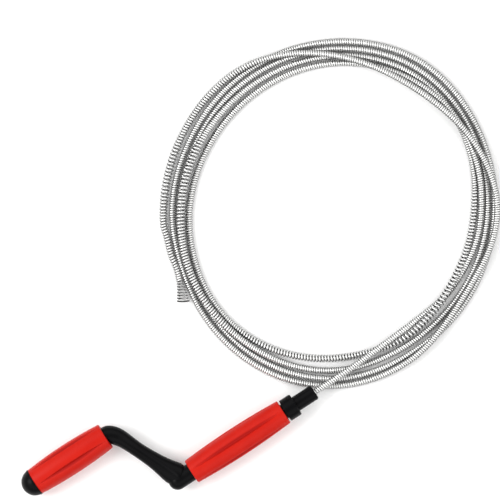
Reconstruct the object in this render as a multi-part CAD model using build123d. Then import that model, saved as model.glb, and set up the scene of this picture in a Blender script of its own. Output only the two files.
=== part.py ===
from build123d import *
from math import atan2, cos, degrees, pi, radians, sin, tan
import os

# A hand drain auger: an S-shaped crank that turns in two barrel grips and drives a spring cable.
# The row stands on the lowest point of its grips. +X runs along the body grip towards the nose,
# +Y points from the body grip to the crank grip, and +Z is up.

# ---------------------------------------------------------------- driving dimensions, mm
crank_throw = 76.8  # between the axes of the two grips
arm_run = 52.7  # along X, from the crank grip's front end to the body grip's rear end
spindle_radius = 7.9  # both spindles and the nose
running_clearance = 0.3  # grip to spindle, and grip to shoulder

body_grip_length = 110.0
body_grip_end_radius = 12.75
body_grip_mid_radius = 14.75
crank_grip_length = 84.2
crank_grip_end_radius = 13.65
crank_grip_mid_radius = 15.8
grip_edge_radius = 1.0
bearing_land = 16.0  # each grip runs on a land of this length at either end
bore_relief = 0.8  # how much wider the bore is between its lands

flute_count = 5
flute_depth = 2.3  # at the middle of the grip
flute_half_angle = 52.0  # of the V section
flute_root_radius = 1.1
body_flute_turn = 10.0  # first flute, from the top towards +Y
crank_flute_turn = 55.0

shoulder_step = 1.3  # how far the arm's round shoulders stand out from the spindles
elbow_setback = 16.5  # from the body grip's rear end to the elbow's centre
scoop_radius = 5.2  # of the groove along the arm's top and underside
scoop_bow = 190.0  # radius of the groove's rise out of the arm
scoop_depth = 1.9  # below the arm's waist
seat_overlap = 1.0  # how far the spindles run into the arm

collar_gap = 1.6  # end play of the body grip
collar_length = 12.7
collar_wall = 3.9
collar_chamfer = 1.0
nose_length = 22.7
nose_edge_radius = 1.8

counterbore_step = 2.8  # from the crank grip's bore out to its counterbore
counterbore_depth = 7.5
washer_clearance = 1.0
washer_thickness = 1.2
screw_radius = 1.9
screw_length = 14.0  # under the head
screw_head_radius = 4.2
screw_head_height = 2.8

cap_lip_step = 0.45  # how far the cap's lip stands out from its dome and from the grip's end
cap_lip_length = 1.6
cap_length = 13.6  # from the grip's end to the top of the dome
cap_wall = 1.8
cap_skirt_length = 3.2
cap_skirt_wall = 1.6

cable_radius = 3.5
cable_bore_clearance = 0.25
cable_grip_depth = 29.8  # how deep the cable goes into the nose
set_screw_radius = 2.0
set_screw_setback = 3.0  # from the cable's inner end to the set screw's axis
socket_radius = 1.1
socket_depth = 1.8

coil_height = 11.0
coil_bevel = 3.4
wire_radius = 0.85  # of the wire that the cable and its head are wound from
wire_sides = 6  # a six-sided section stands for the round wire in the head
head_length = 21.0
head_mouth_radius = 6.4
head_pitch = 2.6

# ---------------------------------------------------------------- sizes worked out from them
shoulder_radius = spindle_radius + shoulder_step
grip_bore = spindle_radius + running_clearance
collar_radius = spindle_radius + collar_wall
counterbore_radius = grip_bore + counterbore_step
washer_radius = counterbore_radius - washer_clearance
cap_dome_radius = crank_grip_end_radius
cap_lip_radius = cap_dome_radius + cap_lip_step
on_floor = cable_radius + 0.1

# ---------------------------------------------------------------- places worked out from them
reach_back = arm_run + crank_grip_length + cap_length
reach_front = body_grip_length + collar_gap + collar_length + nose_length
body_rear_x = (reach_back - reach_front) / 2
body_y = (body_grip_mid_radius - crank_throw - crank_grip_mid_radius) / 2
crank_y = body_y + crank_throw
axis_z = max(body_grip_mid_radius, crank_grip_mid_radius)

body_front_x = body_rear_x + body_grip_length
collar_rear_x = body_front_x + collar_gap
collar_front_x = collar_rear_x + collar_length
nose_x = collar_front_x + nose_length
crank_front_x = body_rear_x - arm_run
crank_rear_x = crank_front_x - crank_grip_length
spindle_end_x = crank_rear_x + counterbore_depth - running_clearance
cable_end_x = nose_x - cable_grip_depth
set_screw_x = cable_end_x + set_screw_setback
shoulder_x = crank_front_x + running_clearance
stub_x = body_rear_x - running_clearance

# The arm's sections from the crank grip down to the elbow: shares of the way back along X and of
# the throw along Y, from the elbow's centre, then the way the arm heads, its width and its height.
elbow_x = body_rear_x - elbow_setback
arm_waist = (0.351, 0.503, -66.5, 15.4, 15.6)
arm_sections = [
    (0.833, 0.958, -22.0, 20.0, 18.2),
    (0.702, 0.883, -42.0, 18.2, 17.4),
    (0.546, 0.719, -62.0, 15.4, 16.2),
    arm_waist,
    (0.156, 0.292, -64.0, 18.6, 16.8),
    (-0.011, 0.125, -62.0, 23.4, 19.0),
    (-0.142, 0.034, -51.0, 21.5, 19.3),
]

# The cable's free stretches. Its lead leaves the nose level and runs down over the coil to its
# inner side, and its tail leaves the coil's outer side and ends in the head.
lead_route = [
    (cable_end_x, body_y, axis_z),
    (nose_x + 6, body_y, axis_z),
    (184, -39.4, 13.6),
    (215, -38.2, 11.4),
    (246, -36.7, 8.2),
    (275, -33.8, 4.8),
    (301, -29.6, on_floor),
    (324, -25.2, on_floor),
]
tail_route = [
    (108.9, 170.9, on_floor),
    (102.5, 154.9, on_floor),
    (97.9, 139.9, on_floor),
    (94.0, 127.2, 4.8),
]

# The loose coil's outline, every 30 degrees from -33 degrees: outer and inner radius.
coil_centre = (259.3, 100.7)
coil_outer = [171, 173, 179, 175, 172.5, 171.5, 171, 161, 170, 174, 167.5, 163]
coil_inner = [140, 151, 149, 149, 142, 138, 140, 143, 143, 141, 136, 136]
coil_first_angle = -33.0


# ---------------------------------------------------------------- shared shapes
def rod(radius, x_from, x_to, y):
    """A cylinder along X, level with the grips' axes."""
    middle = Pos((x_from + x_to) / 2, y, axis_z)
    return middle * Rot(0, 90, 0) * Cylinder(radius, abs(x_to - x_from))


def grip_blank(x_from, length, end_radius, mid_radius):
    """A barrel: a solid of revolution with a bowed side and rounded ends."""
    x_to = x_from + length
    with BuildSketch() as section:
        with BuildLine():
            Polyline((x_from, end_radius), (x_from, 0), (x_to, 0), (x_to, end_radius))
            ThreePointArc((x_to, end_radius), ((x_from + x_to) / 2, mid_radius), (x_from, end_radius))
        make_face()
        fillet(section.vertices().sort_by(Axis.Y)[-2:], grip_edge_radius)
    return revolve(Plane.XZ * section.sketch, Axis.X)


def flute(x_from, length, mid_radius, turn):
    """One V groove along a barrel. The bowed side runs out of it near both ends."""
    root = mid_radius - flute_depth
    rise = 2 * flute_depth + grip_edge_radius
    half_width = rise * tan(radians(flute_half_angle))
    with BuildSketch(Plane.YZ.offset(x_from)) as section:
        with BuildLine():
            Polyline((0, root), (half_width, root + rise), (-half_width, root + rise), close=True)
        make_face()
        fillet(section.vertices().sort_by(Axis.Z)[0], flute_root_radius)
    return Rot(-turn, 0, 0) * extrude(section.sketch, length)


def grip(x_from, length, end_radius, mid_radius, first_turn, y):
    """A fluted barrel sleeve that runs on a spindle by a land at either end."""
    blank = grip_blank(x_from, length, end_radius, mid_radius)
    for k in range(flute_count):
        blank -= flute(x_from, length, mid_radius, first_turn + k * 360 / flute_count)
    sleeve = Pos(0, y, axis_z) * blank - rod(grip_bore, x_from, x_from + length, y)
    relief = rod(grip_bore + bore_relief, x_from + bearing_land, x_from + length - bearing_land, y)
    return sleeve - relief


def routed_path(points):
    """Straight runs joined by tangent arcs, each as large as its two runs allow."""
    spots = [Vector(*p) for p in points]
    radii = []
    for before, here, after in zip(spots, spots[1:], spots[2:]):
        half_turn = radians((here - before).get_angle(after - here)) / 2
        shorter = min((here - before).length, (after - here).length)
        radii.append(0.45 * shorter / tan(half_turn))
    print("arc radii", [round(r) for r in radii])
    return FilletPolyline(*spots, radius=radii)


def cable_tube(points):
    """A plain tube of the cable's outer diameter."""
    path = routed_path(points)
    tube = sweep(Plane(path @ 0, z_dir=path % 0) * Circle(cable_radius), path)
    print("tube", round(path.length, 1), "mm, volume", round(tube.volume / (pi * cable_radius**2), 1))
    return tube


# ---------------------------------------------------------------- pieces
def make_crank_arm():
    """The moulded crank: two spindles joined by an arm that waists between its two bends."""
    shoulder = Plane((shoulder_x, crank_y, axis_z), x_dir=(0, 1, 0), z_dir=(1, 0, 0))
    faces = [shoulder * Circle(shoulder_radius)]
    for section in arm_sections:
        faces.append(arm_plane(section) * Ellipse(section[3] / 2, section[4] / 2))
    arm = loft(faces)
    for side in (1, -1):
        arm -= arm_scoop(side)
    stub = rod(shoulder_radius, elbow_x, stub_x, body_y)
    elbow = Pos(elbow_x, body_y, axis_z) * Sphere(shoulder_radius)
    crank_spindle = rod(spindle_radius, spindle_end_x, shoulder_x + seat_overlap, crank_y)
    body_spindle = rod(spindle_radius, stub_x - seat_overlap, nose_x, body_y)
    nose_edge = body_spindle.edges().filter_by(GeomType.CIRCLE).sort_by(Axis.X)[-1]
    body_spindle = fillet(nose_edge, nose_edge_radius)
    crank = arm + stub + elbow + crank_spindle + body_spindle
    cable_bore = cable_radius + cable_bore_clearance
    crank -= rod(cable_bore, cable_end_x - running_clearance, nose_x, body_y)
    crank -= rod(screw_radius, spindle_end_x, spindle_end_x + screw_length, crank_y)
    return crank - set_screw_hole()


def arm_plane(section):
    """Where one of the arm's sections lies, square to the way that the arm heads there."""
    back, across, heading = section[:3]
    centre = (elbow_x - back * (elbow_x - shoulder_x), body_y + across * crank_throw, axis_z)
    way = Vector(1, 0, 0).rotate(Axis.Z, heading)
    return Plane(centre, x_dir=way.rotate(Axis.Z, 90), z_dir=way)


def arm_scoop(side):
    """The long shallow groove on the arm's top or underside. It rises out of the arm at both ends."""
    waist = arm_plane(arm_waist)
    rise = arm_waist[4] / 2 - scoop_depth + scoop_radius + scoop_bow
    middle = waist.origin + Vector(0, 0, side * rise)
    return Plane(middle, x_dir=waist.z_dir, z_dir=waist.x_dir) * Torus(scoop_bow, scoop_radius)


def make_body_grip():
    return grip(
        body_rear_x,
        body_grip_length,
        body_grip_end_radius,
        body_grip_mid_radius,
        body_flute_turn,
        body_y,
    )


def make_crank_grip():
    sleeve = grip(
        crank_rear_x,
        crank_grip_length,
        crank_grip_end_radius,
        crank_grip_mid_radius,
        crank_flute_turn,
        crank_y,
    )
    return sleeve - rod(counterbore_radius, crank_rear_x, crank_rear_x + counterbore_depth, crank_y)


def make_grip_end_cap():
    """A hollow dome with a lip round its rim and a skirt that plugs the crank grip."""
    tip_x = crank_rear_x - cap_length
    lip_x = crank_rear_x - cap_lip_length
    skirt_x = crank_rear_x + cap_skirt_length
    skirt_bore = counterbore_radius - cap_skirt_wall
    with BuildSketch() as section:
        with BuildLine():
            TangentArc((tip_x, 0), (lip_x, cap_dome_radius), tangent=(0, 1))
            Polyline(
                (lip_x, cap_dome_radius),
                (lip_x, cap_lip_radius),
                (crank_rear_x, cap_lip_radius),
                (crank_rear_x, counterbore_radius),
                (skirt_x, counterbore_radius),
                (skirt_x, skirt_bore),
                (lip_x, skirt_bore),
            )
            TangentArc((tip_x + cap_wall, 0), (lip_x, skirt_bore), tangent=(0, 1))
            Line((tip_x, 0), (tip_x + cap_wall, 0))
        make_face()
    return Pos(0, crank_y, axis_z) * revolve(Plane.XZ * section.sketch, Axis.X)


def make_retaining_washer():
    washer = rod(washer_radius, spindle_end_x - washer_thickness, spindle_end_x, crank_y)
    return washer - rod(screw_radius, spindle_end_x - washer_thickness, spindle_end_x, crank_y)


def make_retaining_screw():
    seat_x = spindle_end_x - washer_thickness
    head = rod(screw_head_radius, seat_x - screw_head_height, seat_x, crank_y)
    rim = head.edges().filter_by(GeomType.CIRCLE).sort_by(Axis.X)[0]
    head = fillet(rim, screw_head_height / 2)
    shank = rod(screw_radius, seat_x, spindle_end_x + screw_length, crank_y)
    recess = Pos(seat_x - screw_head_height, crank_y, axis_z)
    slot = Box(screw_head_height, screw_head_radius, screw_radius / 2)
    return head + shank - recess * slot - recess * Rot(90, 0, 0) * slot


def set_screw_hole():
    """Straight up through collar and spindle to the cable."""
    depth = collar_radius - cable_radius
    return Pos(set_screw_x, body_y, axis_z - cable_radius - depth / 2) * Cylinder(set_screw_radius, depth)


def make_front_collar():
    ring = rod(collar_radius, collar_rear_x, collar_front_x, body_y)
    front_rim = ring.edges().filter_by(GeomType.CIRCLE).sort_by(Axis.X)[-1]
    ring = chamfer(front_rim, collar_chamfer)
    rear_rim = ring.edges().filter_by(GeomType.CIRCLE).sort_by(Axis.X)[0]
    ring = fillet(rear_rim, collar_chamfer / 2)
    ring -= rod(spindle_radius, collar_rear_x, collar_front_x, body_y)
    return ring - set_screw_hole()


def make_collar_set_screw():
    """A headless screw that bears on the cable, with a socket in its outer end."""
    length = collar_radius - cable_radius - running_clearance
    outer_z = axis_z - collar_radius + running_clearance
    stud = Pos(set_screw_x, body_y, outer_z + length / 2) * Cylinder(set_screw_radius, length)
    socket = extrude(RegularPolygon(socket_radius, 6), socket_depth)
    return stud - Pos(set_screw_x, body_y, outer_z) * socket


def make_cable_lead():
    return cable_tube(lead_route)


def make_cable_tail():
    return cable_tube(tail_route)


def make_cable_coil():
    """The outer shape of the loose coil, a flat ring that is nowhere quite round."""
    rings = []
    for reaches in (coil_outer, coil_inner):
        spots = []
        for k, reach in enumerate(reaches):
            angle = radians(coil_first_angle + k * 360 / len(reaches))
            spots.append((coil_centre[0] + reach * cos(angle), coil_centre[1] + reach * sin(angle)))
        rings.append(make_face(Spline(*spots, periodic=True)))
    ring = extrude(rings[0] - rings[1], coil_height)
    rims = ring.edges().filter_by(Plane.XY)
    return chamfer(rims, coil_bevel)


def make_spring_head():
    """The cable's end, its wire pulled open and flared to a wide mouth."""
    end = Vector(*tail_route[-1])
    way = (end - Vector(*tail_route[-2])).normalized()
    throat = Plane(end - way * wire_radius, z_dir=way)
    throat_radius = cable_radius - wire_radius
    mouth_radius = head_mouth_radius - wire_radius
    flare = degrees(atan2(mouth_radius - throat_radius, head_length))
    winding = Helix(head_pitch, head_length, throat_radius, cone_angle=flare)
    section = Plane(winding @ 0, z_dir=winding % 0) * RegularPolygon(wire_radius, wire_sides)
    wire = sweep(section, winding, is_frenet=True)
    return throat * wire


makers = {
    "crank_arm": make_crank_arm,
    "body_grip": make_body_grip,
    "crank_grip": make_crank_grip,
    "grip_end_cap": make_grip_end_cap,
    "retaining_washer": make_retaining_washer,
    "retaining_screw": make_retaining_screw,
    "front_collar": make_front_collar,
    "collar_set_screw": make_collar_set_screw,
    "cable_lead": make_cable_lead,
    "cable_coil": make_cable_coil,
    "cable_tail": make_cable_tail,
    "spring_head": make_spring_head,
}

os.makedirs("parts", exist_ok=True)
for node, make in makers.items():
    export_step(make(), f"parts/{node}.step")
    print("wrote", node)
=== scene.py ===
from math import cos, pi, radians, sin

import bpy
import numpy as np
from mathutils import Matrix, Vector


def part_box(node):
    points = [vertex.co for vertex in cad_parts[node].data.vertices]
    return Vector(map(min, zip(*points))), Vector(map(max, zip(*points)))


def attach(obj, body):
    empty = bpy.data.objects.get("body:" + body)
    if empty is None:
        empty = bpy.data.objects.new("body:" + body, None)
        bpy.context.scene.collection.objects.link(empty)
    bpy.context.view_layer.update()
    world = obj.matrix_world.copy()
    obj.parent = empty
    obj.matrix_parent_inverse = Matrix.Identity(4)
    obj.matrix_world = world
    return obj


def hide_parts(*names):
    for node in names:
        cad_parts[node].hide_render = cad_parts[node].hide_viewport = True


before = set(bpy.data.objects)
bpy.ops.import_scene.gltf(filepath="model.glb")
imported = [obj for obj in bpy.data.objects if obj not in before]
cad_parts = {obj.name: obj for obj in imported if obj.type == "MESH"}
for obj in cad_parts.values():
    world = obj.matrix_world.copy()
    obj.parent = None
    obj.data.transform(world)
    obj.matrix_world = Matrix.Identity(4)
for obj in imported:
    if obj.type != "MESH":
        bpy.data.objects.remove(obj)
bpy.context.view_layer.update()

MM = 0.001

# ---------------------------------------------------------------- places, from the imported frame
arm_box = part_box("crank_arm")
collar_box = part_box("front_collar")
nose_x = arm_box[1][0]
spindle_y = (collar_box[0][1] + collar_box[1][1]) / 2
spindle_z = (collar_box[0][2] + collar_box[1][2]) / 2

# ---------------------------------------------------------------- the cable's facts
CABLE = 7.0 * MM
WIRE = 1.95 * MM  # the round wire that the cable is wound from
CLOSED_PITCH = 2.33 * MM  # from one turn of the wire to the next
# Where use has pulled the cable open: from one lap round the coil to another, with the pitch and
# the cable's width there, both in mm.
OPENED = [
    (0.93, 1.10, 3.0, 7.4),
    (1.10, 1.23, 3.9, 8.6),
    (1.23, 1.31, 3.3, 7.4),
    (1.70, 1.80, 3.5, 9.6),
    (1.80, 1.92, 2.8, 8.6),
    (4.60, 4.715, 2.75, 7.4),
    (4.715, 4.775, 3.6, 8.6),
    (4.775, 4.84, 2.8, 7.6),
]
HEAD_PITCH = 2.9 * MM
HEAD_WIRE = 1.4 * MM
HEAD_LENGTH = 21.0 * MM
HEAD_MOUTH = 12.8 * MM
HEAD_STEPS = 40  # points along the head's line
FLARE = 1.3  # above 1, the head opens faster towards its mouth
INNER_END = 29.8 * MM  # how far the cable goes into the nose
# Painted shade, from 0 to 1 and more: between two turns of the wire and down the cable's sides;
# and a darker tone all over the head.
PAINTED_RING_SHADE = 0.55
PAINTED_SIDE_SHADE = 3.0
SIDE_LEAN = 0.15  # most of it lies a little below the cable's middle
SIDE_SPREAD = 0.75
HEAD_DARKENING = 0.5
COIL_CENTRE = np.array([259.3, 100.7]) * MM
POINTS_PER_TURN = 24
NOSE_COMPASS = 224.9  # degrees, of the nose seen from the coil's centre
FIRST_COMPASS = 297.0  # degrees; the tables below go on from it in steps of 30
TABLE_STEP = 30
COIL_FROM, COIL_TO = 307.0, 360.0 * 5 + 150.0
COMPASS_STEP = 1.875
ROUTE_STEPS = 10  # points of the finished line for each control point
OPENING = 0.02  # laps, over which the winding opens or closes again
# How the turns settle, in each of many small rounds.
ROUNDS = 160
FALL = 0.03 * MM
SHOVE = 0.42  # the share of an overlap that is pushed away
EASE = 0.25  # the share of a kink that is smoothed out
HOLD = 0.04  # the share of the way back to the wanted place
LOOSE = 1.015  # how far apart the turns come to lie, in diameters
NEAR = 6  # neighbours along the same turn don't push each other
# The lead and the tail push the turns too, by points so far apart. The points next to the coil
# are left out.
END_STEP = 5 * MM
LEAD_SKIPPED = 6
TAIL_SKIPPED = 5

LENS, SENSOR = 250, 36
CAMERA_PLACE = (171.65 * MM, 115.3 * MM, 3.49)
CAMERA_TURN = radians(-33)


def set_camera():
    """Straight down on the tool, its body grip running up to the right."""
    lens = bpy.data.cameras.new("camera")
    lens.lens = LENS
    lens.sensor_width = SENSOR
    camera = bpy.data.objects.new("camera", lens)
    bpy.context.scene.collection.objects.link(camera)
    camera.location = CAMERA_PLACE
    camera.rotation_euler = (0, 0, CAMERA_TURN)
    bpy.context.scene.camera = camera


set_camera()

# ---------------------------------------------------------------- the cable's route
LEAD = [
    ((nose_x - INNER_END) / MM, spindle_y / MM, spindle_z / MM),
    (nose_x / MM + 6, spindle_y / MM, spindle_z / MM),
    (184, -39.4, 13.6),
    (215, -38.2, 11.4),
    (246, -36.7, 8.2),
    (275, -35.0, 4.8),
    (301.8, -32.4, 3.6),
    (324.7, -26.6, 3.6),
]
TAIL = [
    (108.9, 170.9, 4.2),
    (102.5, 154.9, 3.9),
    (100.1, 137.4, 3.8),
    (95.6, 127.4, 5.0),
]
# Each turn's reach from the coil's centre and its height, every 30 degrees. The turns widen from
# the first to the fourth, and the last crosses over them to the inside and back.
REACH = [
    [147, 151, 158, 160, 153, 145, 141.5, 143.5, 149, 149.5, 145, 142],
    [140, 144.5, 157.5, 164, 160.5, 153, 151.6, 151.9, 154.8, 156, 158.5, 151],
    [153.5, 158, 164, 171.5, 168, 161.5, 153.6, 153.4, 154.5, 161.8, 167, 162],
    [161.5, 164.5, 171, 180, 173.5, 168, 161, 160.8, 161, 169.5, 173.5, 166],
    [154.5, 169.5, 159.5, 152, 161, 173.5, 170.5, 168.6, 166, 166, 166, 166],
]
HEIGHT = [
    [3.5, 3.5, 10.5, 3.5, 3.5, 3.5, 3.5, 3.5, 3.5, 3.5, 3.5, 8],
    [10.5, 3.5, 3.5, 3.5, 3.5, 3.5, 10.5, 10.8, 10.5, 3.5, 3.5, 3.5],
    [3.5, 3.5, 7.5, 3.5, 3.5, 3.5, 3.5, 3.5, 3.5, 3.5, 3.5, 3.5],
    [3.5, 3.5, 3.5, 3.5, 3.5, 3.5, 3.5, 3.5, 3.5, 3.5, 5, 3.5],
    [9.5, 7, 17, 8, 10, 10, 6, 3.5, 3.5, 3.5, 3.5, 3.5],
]


def between(table, places):
    """Smooth values between a row of knots, by Catmull-Rom."""
    knots = np.concatenate([[table[0]], table, [table[-1]] * 2])
    whole = np.clip(np.floor(places).astype(int), 0, len(table) - 1)
    part = places - whole
    a, b, c, d = (knots[whole + k] for k in range(4))
    curve = 2 * b + (c - a) * part + (2 * a - 5 * b + 4 * c - d) * part**2
    return 0.5 * (curve + (3 * b - a - 3 * c + d) * part**3)


def spaced(points, step):
    """The same line with its points one step apart."""
    run = np.concatenate([[0], np.cumsum(np.linalg.norm(np.diff(points, axis=0), axis=1))])
    marks = np.linspace(0, run[-1], max(2, round(run[-1] / step) + 1))
    return np.stack([np.interp(marks, run, points[:, k]) for k in range(3)], axis=1)


def window(laps, low, high):
    """1 between low and high, 0 outside, with soft ends."""
    rise = np.clip((laps - low) / OPENING + 0.5, 0, 1)
    fall = np.clip((high - laps) / OPENING + 0.5, 0, 1)
    return np.minimum(rise, fall)


def winding_at(laps):
    """The wire's pitch and the cable's width, so many laps from the nose."""
    pitches = np.full(len(laps), CLOSED_PITCH)
    widths = np.full(len(laps), CABLE)
    for low, high, pitch, width in OPENED:
        share = window(laps, low, high)
        pitches += (pitch * MM - CLOSED_PITCH) * share
        widths += (width * MM - CABLE) * share
    return pitches, widths


def settle(coil, widths, others):
    """Lets the turns drop on to the floor and each other, until they lie a diameter apart."""
    aim = coil.copy()
    order = np.arange(len(coil))
    for _ in range(ROUNDS):
        coil[:, 2] -= FALL
        for spread, breadths in ((coil, widths), (others, np.full(len(others), CABLE))):
            gap = coil[:, None] - spread[None]
            far = np.linalg.norm(gap, axis=2)
            apart = LOOSE * (widths[:, None] + breadths[None]) / 2
            close = far < apart
            if spread is coil:
                close &= np.abs(order[:, None] - order[None]) > NEAR
            push = np.where(close, (apart - far) / np.maximum(far, 1e-9), 0)[..., None] * gap
            coil += SHOVE * push.sum(axis=1)
        smooth = coil.copy()
        smooth[2:-2] = (coil[:-4] + coil[1:-3] + coil[2:-2] + coil[3:-1] + coil[4:]) / 5
        coil[2:-2] += EASE * (smooth - coil)[2:-2]
        coil[:, :2] += HOLD * (aim - coil)[:, :2]
        coil[:, 2] = np.maximum(coil[:, 2], widths / 2)
    return coil


def coil_points():
    """The loose turns, one compass step after another, settled, and thinned to control points."""
    angles = np.arange(COIL_FROM, COIL_TO, COMPASS_STEP)
    places = (angles - FIRST_COMPASS) / TABLE_STEP
    reach = between(np.ravel(REACH), places) * MM
    height = between(np.ravel(HEIGHT), places) * MM
    turn = np.radians(angles)
    flat = COIL_CENTRE[:, None] + reach * np.stack([np.cos(turn), np.sin(turn)])
    line = np.column_stack([flat.T, height])
    lead = spaced(np.array(LEAD) * MM, END_STEP)[:-LEAD_SKIPPED]
    tail = spaced(np.array(TAIL) * MM, END_STEP)[TAIL_SKIPPED:]
    _, widths = winding_at((angles - NOSE_COMPASS) / 360)
    line = settle(line, widths, np.vstack([lead, tail]))
    step = round(360 / POINTS_PER_TURN / COMPASS_STEP)
    chosen = line[step // 2 :: step]
    # The spline runs a little inside its control points, so they are moved out by as much.
    chosen[:, :2] = COIL_CENTRE + (chosen[:, :2] - COIL_CENTRE) / cos(pi / POINTS_PER_TURN)
    return chosen


def cable_route():
    """One NURBS spline from inside the nose to the end of the tail."""
    points = np.vstack([np.array(LEAD) * MM, coil_points(), np.array(TAIL) * MM])
    curve = bpy.data.curves.new("cable_route", "CURVE")
    curve.dimensions = "3D"
    curve.resolution_u = ROUTE_STEPS
    spline = curve.splines.new("NURBS")
    spline.points.add(len(points) - 1)
    for point, place in zip(spline.points, points):
        point.co = (*place, 1)
    spline.order_u = 3
    spline.use_endpoint_u = True
    route = bpy.data.objects.new("cable_route", curve)
    bpy.context.scene.collection.objects.link(route)
    mesh = bpy.data.meshes.new_from_object(route)
    line = np.empty(len(mesh.vertices) * 3)
    mesh.vertices.foreach_get("co", line)
    bpy.data.objects.remove(route)
    bpy.data.curves.remove(curve)
    bpy.data.meshes.remove(mesh)
    return line.reshape(-1, 3)


# ---------------------------------------------------------------- the wound spring
def carried_frames(line):
    """Two directions across the line at each point, carried along it without twist."""
    ways = np.gradient(line, axis=0)
    ways /= np.linalg.norm(ways, axis=1)[:, None]
    sides = np.empty_like(ways)
    side = np.cross(ways[0], (0, 0, 1.0))
    for k, way in enumerate(ways):
        side = side - way * side.dot(way)
        side /= np.linalg.norm(side)
        sides[k] = side
    return sides, np.cross(ways, sides)


def wound(name, line, pitches, radii, wire=WIRE, grime=0.0, steps=10, edges=5, first_turn=0.0):
    """A round wire wound along a line. Returns the piece and the turn that it ends on."""
    run = np.concatenate([[0], np.cumsum(np.linalg.norm(np.diff(line, axis=0), axis=1))])
    turns = np.concatenate([[0], np.cumsum(np.diff(run) / ((pitches[1:] + pitches[:-1]) / 2))])
    marks = np.linspace(0, turns[-1], round(turns[-1] * steps) + 1)
    places = np.interp(marks, turns, run)
    sides, ups = carried_frames(line)
    centre, side, up = (
        np.stack([np.interp(places, run, v[:, k]) for k in range(3)], axis=1)
        for v in (line, sides, ups)
    )
    angle = 2 * pi * (marks + first_turn)
    outward = np.cos(angle)[:, None] * side + np.sin(angle)[:, None] * up
    winding = centre + np.interp(places, run, radii)[:, None] * outward
    along = np.gradient(winding, axis=0)
    along /= np.linalg.norm(along, axis=1)[:, None]
    across = np.cross(along, outward)
    # Painted shade down the cable's sides here, and between the wire's turns in the loop below; the
    # head adds its darker tone.
    from_side = np.abs(outward[:, 2] + SIDE_LEAN)
    side_painted_shade = PAINTED_SIDE_SHADE * np.clip(SIDE_SPREAD - from_side, 0, None)
    verts, painted_shades_and_tones = [], []
    for k in range(edges):
        turn = 2 * pi * k / edges
        verts.append(winding + wire / 2 * (cos(turn) * outward + sin(turn) * across))
        painted_shades_and_tones.append(grime + side_painted_shade + PAINTED_RING_SHADE * (1 - cos(turn)) / 2)
    verts = np.stack(verts, axis=1).reshape(-1, 3)
    rings = np.arange(len(winding) - 1)[:, None] * edges
    corner = np.arange(edges)[None]
    after = (corner + 1) % edges
    ahead = rings + edges
    quads = np.stack([rings + corner, rings + after, ahead + after, ahead + corner], axis=2)
    first_end, last_end = range(edges)[::-1], range(len(verts) - edges, len(verts))
    piece = mesh_piece(name, verts, [*quads.reshape(-1, 4).tolist(), first_end, last_end])
    shade = piece.data.attributes.new("grime", "FLOAT", "POINT")
    shade.data.foreach_set("value", np.stack(painted_shades_and_tones, axis=1).ravel())
    return piece, marks[-1] + first_turn


def mesh_piece(name, verts, faces):
    mesh = bpy.data.meshes.new(name)
    mesh.from_pydata(verts.tolist(), [], faces)
    mesh.shade_smooth()
    piece = bpy.data.objects.new(name, mesh)
    bpy.context.scene.collection.objects.link(piece)
    return piece


def make_cable():
    """The closed-wound cable, with the stretches that use has pulled open, and its flared head."""
    line = cable_route()
    from_centre = line[:, :2] - COIL_CENTRE
    laps = np.unwrap(np.arctan2(from_centre[:, 1], from_centre[:, 0])) / (2 * pi)
    laps -= laps[0]
    pitches, widths = winding_at(laps)
    cores = (widths - WIRE) / 2
    cable, turn = wound("spring_cable", line, pitches, cores)
    way = line[-1] - line[-2]
    way /= np.linalg.norm(way)
    part = np.linspace(0, 1, HEAD_STEPS)
    stub = line[-1] + part[:, None] * way * HEAD_LENGTH
    mouth = (HEAD_MOUTH - HEAD_WIRE) / 2
    flare = cores[-1] + (mouth - cores[-1]) * part**FLARE
    pitch = np.full(HEAD_STEPS, HEAD_PITCH)
    drawn = {"wire": HEAD_WIRE, "grime": HEAD_DARKENING, "steps": 20, "edges": 8}
    head, _ = wound("spring_head_wire", stub, pitch, flare, **drawn, first_turn=turn)
    length = np.linalg.norm(np.diff(line, axis=0), axis=1).sum()
    return cable, head, line, length


cable, head, line, length = make_cable()
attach(cable, "crank")
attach(head, "crank")
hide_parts("cable_lead", "cable_coil", "cable_tail")
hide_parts("spring_head")
line[::3].tolist() + [line[-1].tolist()]


# ---------------------------------------------------------------- finishes
GRIP_BOW = 2.1 * MM  # how much a grip is thicker at its middle than at its ends
FLUTE_DEPTH = 1.6 * MM


class Value:
    """A shader socket that takes part in arithmetic as a number does."""

    def __init__(self, recipe, socket):
        self.recipe = recipe
        self.socket = socket

    def of(self, operation, *others):
        return self.recipe.node("ShaderNodeMath", {"operation": operation}, [self, *others])

    def __add__(self, other):
        return self.of("ADD", other)

    def __sub__(self, other):
        return self.of("SUBTRACT", other)

    def __mul__(self, other):
        return self.of("MULTIPLY", other)

    def __truediv__(self, other):
        return self.of("DIVIDE", other)

    def __pow__(self, other):
        return self.of("POWER", other)

    def __rsub__(self, other):
        return (self * -1) + other

    __radd__ = __add__
    __rmul__ = __mul__

    def clamped(self):
        return self.of("MAXIMUM", 0.0).of("MINIMUM", 1.0)


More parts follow.
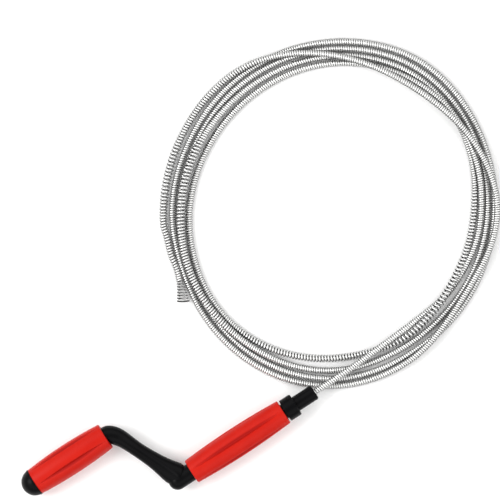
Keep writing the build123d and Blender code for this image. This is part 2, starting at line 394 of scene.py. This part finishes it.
class Recipe:
    """The nodes that feed one shader."""

    def __init__(self, owner, shader):
        owner.use_nodes = True
        self.tree = owner.node_tree
        self.shader = self.tree.nodes[shader]

    def node(self, kind, settings=None, sockets=(), out=0):
        """Any node: its settings first, then its sockets, by place or by name."""
        made = self.tree.nodes.new(kind)
        for name, value in (settings or {}).items():
            if name == "stops":
                self.set_stops(made.color_ramp, value)
            else:
                setattr(made, name, value)
        pairs = sockets.items() if isinstance(sockets, dict) else enumerate(sockets)
        for key, value in pairs:
            self.feed(made.inputs[key], value)
        return Value(self, made.outputs[out])

    def set_stops(self, ramp, stops):
        while len(ramp.elements) < len(stops):
            ramp.elements.new(0.5)
        for element, (place, colour) in zip(ramp.elements, stops):
            element.position = place
            element.color = colour

    def feed(self, socket, value):
        if isinstance(value, Value):
            self.tree.links.new(value.socket, socket)
        else:
            socket.default_value = value

    def give(self, name, value):
        self.feed(self.shader.inputs[name], value)

    def apart(self, vector):
        """A vector's three numbers."""
        first = self.node("ShaderNodeSeparateXYZ", {}, [vector])
        return [Value(self, socket) for socket in first.socket.node.outputs]


class Finish(Recipe):
    """A material with one surface shader."""

    def __init__(self, name, **constants):
        self.material = bpy.data.materials.new(name)
        super().__init__(self.material, "Principled BSDF")
        for socket, value in constants.items():
            self.give(socket.replace("_", " "), value)

    def place(self):
        return self.node("ShaderNodeTexCoord", out="Object")

    def noise(self, scale, detail):
        """Soft cloudy variation, at so many features a metre."""
        sockets = {"Vector": self.place(), "Scale": scale, "Detail": detail}
        return self.node("ShaderNodeTexNoise", {}, sockets)

    def blend(self, amount, first, second):
        sockets = {0: amount, 6: first, 7: second}
        return self.node("ShaderNodeMix", {"data_type": "RGBA"}, sockets, out=2)

    def bump(self, height, strength, distance):
        sockets = {"Height": height, "Strength": strength, "Distance": distance}
        self.give("Normal", self.node("ShaderNodeBump", {}, sockets))


def colour(red, green, blue):
    return (red, green, blue, 1.0)


def red_plastic(node):
    """Moulded grip: its red drifts at random between deeper and paler, with painted shade down in its
    flutes.
    """
    low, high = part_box(node)
    middle, half = (Vector(low) + Vector(high)) / 2, (Vector(high) - Vector(low)) / 2
    finish = Finish(node + "_red_plastic", Specular_IOR_Level=0.14)
    x, y, z = finish.apart(finish.place())
    out = ((y - middle.y) ** 2 + (z - middle.z) ** 2) ** 0.5
    barrel = half.z - ((x - middle.x) / half.x) ** 2 * GRIP_BOW
    # How far down in a flute a point lies: it darkens the colour there as painted shade, and roughens
    # it.
    flute = ((barrel - out) / FLUTE_DEPTH).clamped()
    drift = finish.noise(60, 2)
    speck = finish.noise(2600, 2)
    deep, worn = colour(0.45, 0.006, 0.002), colour(0.54, 0.012, 0.004)
    painted_flute_shade = colour(0.34, 0.004, 0.002)
    finish.give("Base Color", finish.blend(flute, finish.blend(drift, deep, worn), painted_flute_shade))
    finish.give("Roughness", 0.34 + drift * 0.08 + speck * 0.05 + flute * 0.15)
    finish.bump(speck, 0.10, 0.0002)
    return finish.material


def black_plastic():
    finish = Finish("black_crank_plastic", Specular_IOR_Level=0.07)
    drift = finish.noise(45, 3)
    speck = finish.noise(1900, 3)
    deep, worn = colour(0.0015, 0.0015, 0.0018), colour(0.004, 0.004, 0.0045)
    finish.give("Base Color", finish.blend(drift, deep, worn))
    finish.give("Roughness", 0.24 + drift * 0.12 + speck * 0.05)
    finish.bump(speck, 0.08, 0.0002)
    return finish.material


def spring_steel():
    """Bright bare steel, darkened by painted shade between its turns and down the cable's sides, and
    by a darker tone on the head.
    """
    finish = Finish("spring_wire_steel", Specular_IOR_Level=0.3)
    grime = finish.node("ShaderNodeAttribute", {"attribute_name": "grime"}, out=2)
    drift = finish.noise(90, 3)
    # This mix and the dark colour are painted shade between the turns and down the sides, plus the
    # head's darker tone.
    painted_shade_and_tone_mix = (grime * 1.5 - 0.45 + drift * 0.2).clamped()
    bright, dark_tone_and_painted_shade = colour(0.88, 0.88, 0.87), colour(0.02, 0.02, 0.02)
    finish.give("Base Color", finish.blend(painted_shade_and_tone_mix, bright, dark_tone_and_painted_shade))
    finish.give("Metallic", 0.95 - painted_shade_and_tone_mix * 0.85)
    finish.give("Roughness", 0.22 + drift * 0.12 + painted_shade_and_tone_mix * 0.6)
    return finish.material


def fastener_steel():
    finish = Finish("zinc_plated_steel", Metallic=1.0)
    drift = finish.noise(400, 3)
    dull, bright = colour(0.52, 0.52, 0.50), colour(0.66, 0.66, 0.65)
    finish.give("Base Color", finish.blend(drift, dull, bright))
    finish.give("Roughness", 0.3 + drift * 0.15)
    return finish.material


def wear(piece, material):
    piece.data.materials.clear()
    piece.data.materials.append(material)


black, steel, zinc = black_plastic(), spring_steel(), fastener_steel()
for piece in (cable, head):
    wear(piece, steel)
for node, material in {
    "crank_arm": black,
    "front_collar": black,
    "grip_end_cap": black,
    "body_grip": red_plastic("body_grip"),
    "crank_grip": red_plastic("crank_grip"),
    "retaining_washer": zinc,
    "retaining_screw": zinc,
    "collar_set_screw": zinc,
}.items():
    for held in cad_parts[node].material_slots:
        held.material = material


# ---------------------------------------------------------------- floor and lights
FLOOR_HALF = 6.0
TOOL_MIDDLE = (0.17, 0.11, 0.0)
# Each lamp's place, width and power.
LAMPS = {
    "key_softbox": ((-1.1, 0.9, 1.5), 1.0, 18),
    "fill_softbox": ((1.2, -0.9, 1.4), 1.2, 3),
}
# How bright the sky is, from level with the floor (0) to straight overhead (1).
SKY = [(0.0, 0.06), (0.25, 0.2), (0.5, 0.95), (0.85, 1.0), (0.96, 0.25)]
SKY_STRENGTH = 1.6


def make_floor():
    finish = Finish("white_light_table", Roughness=0.7, Emission_Strength=0.04)
    finish.give("Emission Color", colour(1, 1, 0.99))
    finish.give("Base Color", colour(0.93, 0.93, 0.925))
    corners = np.array([(-1, -1, 0), (1, -1, 0), (1, 1, 0), (-1, 1, 0)]) * FLOOR_HALF
    floor = mesh_piece("floor", corners, [(0, 1, 2, 3)])
    wear(floor, finish.material)


def make_lamp(name, place, size, power):
    """A round soft lamp that shines on the tool's middle."""
    lamp = bpy.data.lights.new(name, "AREA")
    lamp.shape = "DISK"
    lamp.size = size
    lamp.energy = power
    holder = bpy.data.objects.new(name, lamp)
    holder.location = place
    towards = Vector(TOOL_MIDDLE) - Vector(place)
    holder.rotation_euler = towards.to_track_quat("-Z", "Y").to_euler()
    bpy.context.scene.collection.objects.link(holder)


def make_world():
    """A studio that is brightest from half way up, dimmer straight overhead and dark at the floor."""
    world = bpy.data.worlds.new("studio")
    light = Recipe(world, "Background")
    height = light.apart(light.node("ShaderNodeTexCoord"))[2]
    stops = [(up, colour(bright, bright, bright)) for up, bright in SKY]
    light.give("Color", light.node("ShaderNodeValToRGB", {"stops": stops}, [height]))
    light.give("Strength", SKY_STRENGTH)
    bpy.context.scene.world = world


make_floor()
for name, (place, size, power) in LAMPS.items():
    make_lamp(name, place, size, power)
make_world()
bpy.context.scene.view_settings.view_transform = "Standard"
